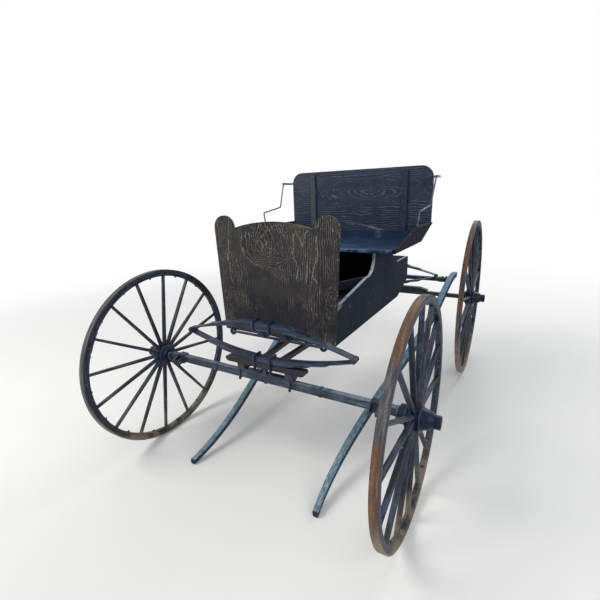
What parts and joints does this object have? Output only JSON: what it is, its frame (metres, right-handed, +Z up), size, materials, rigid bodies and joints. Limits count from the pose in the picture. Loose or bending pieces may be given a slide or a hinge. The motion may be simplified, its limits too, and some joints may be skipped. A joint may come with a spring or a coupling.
{
  "type": "horse drawn carriage",
  "caption": "Light horse-drawn driving wagon with spoked wheels, plywood body, bench seat with back and rails, elliptic springs, turning gear and shafts stowed beneath.",
  "frame": {"origin": "on the ground, midway between the foremost and rearmost points of the wheels, on the centre line", "axes": "+Z up, -Y forwards to where the horse stands, +X to the wagon's left"},
  "size_m": [1.624, 2.713, 1.495],
  "materials": {
    "weathered_plywood": "matte, dark weathered plywood",
    "dark_painted_wood": "satin blue-black paint over plywood",
    "dark_iron": "worn dark paint on iron",
    "rusty_tyre_iron": "rusty and dusty",
    "black_painted_wood": "chipped black paint on wood",
    "blue_painted_wood": "faded blue paint on wood",
    "bare_wood": "weathered bare wood"
  },
  "bodies": {
    "wagon": {"back_battens": "dark_painted_wood", "back_rail": "dark_painted_wood", "dash": "weathered_plywood", "floor_board": "weathered_plywood", "front_body_iron": "dark_iron", "front_spring_clips": "dark_iron", "front_spring_lower": "dark_iron", "front_spring_upper": "dark_iron", "head_block": "bare_wood", "heel_board": "bare_wood", "king_bolt": "dark_iron", "reaches": "bare_wood", "rear_axle": "dark_iron", "rear_axle_bed": "bare_wood", "rear_body_iron": "dark_iron", "rear_deck": "weathered_plywood", "rear_floor": "weathered_plywood", "rear_spring_clips": "dark_iron", "rear_spring_lower": "dark_iron", "rear_spring_upper": "dark_iron", "seat_back": "dark_painted_wood", "seat_board": "dark_painted_wood", "seat_box_back": "weathered_plywood", "seat_end_left": "dark_painted_wood", "seat_end_right": "dark_painted_wood", "seat_rail_left": "dark_iron", "seat_rail_right": "dark_iron", "shaft_crossbar": "blue_painted_wood", "shaft_heel_irons": "dark_iron", "shaft_left": "blue_painted_wood", "shaft_right": "blue_painted_wood", "side_left": "weathered_plywood", "side_right": "weathered_plywood", "tailboard": "weathered_plywood", "turning_plate_upper": "dark_iron"},
    "front_axle": {"front_axle": "dark_iron", "turning_plate_lower": "dark_iron", "shaft_couplings": "dark_iron"},
    "front_left_wheel": {"front_left_hub": "black_painted_wood", "front_left_spokes": "black_painted_wood", "front_left_felloe": "black_painted_wood", "front_left_tyre": "rusty_tyre_iron"},
    "front_right_wheel": {"front_right_hub": "black_painted_wood", "front_right_spokes": "black_painted_wood", "front_right_felloe": "black_painted_wood", "front_right_tyre": "rusty_tyre_iron"},
    "rear_left_wheel": {"rear_left_hub": "black_painted_wood", "rear_left_spokes": "black_painted_wood", "rear_left_felloe": "black_painted_wood", "rear_left_tyre": "rusty_tyre_iron"},
    "rear_right_wheel": {"rear_right_hub": "black_painted_wood", "rear_right_spokes": "black_painted_wood", "rear_right_felloe": "black_painted_wood", "rear_right_tyre": "rusty_tyre_iron"}
  },
  "joints": [
    {"name": "steering", "type": "hinge", "parent": "wagon", "child": "front_axle", "pos_m": [0, -0.8735, 0.505], "axis": [0, 0, 1], "range_deg": [-23, 23]},
    {"name": "front_left_spin", "type": "hinge", "parent": "front_axle", "child": "front_left_wheel", "pos_m": [0.71, -0.8735, 0.483], "axis": [1, 0, 0], "continuous": true},
    {"name": "front_right_spin", "type": "hinge", "parent": "front_axle", "child": "front_right_wheel", "pos_m": [-0.71, -0.8735, 0.483], "axis": [1, 0, 0], "continuous": true},
    {"name": "rear_left_spin", "type": "hinge", "parent": "wagon", "child": "rear_left_wheel", "pos_m": [0.71, 0.7915, 0.565], "axis": [1, 0, 0], "continuous": true},
    {"name": "rear_right_spin", "type": "hinge", "parent": "wagon", "child": "rear_right_wheel", "pos_m": [-0.71, 0.7915, 0.565], "axis": [1, 0, 0], "continuous": true}
  ]
}
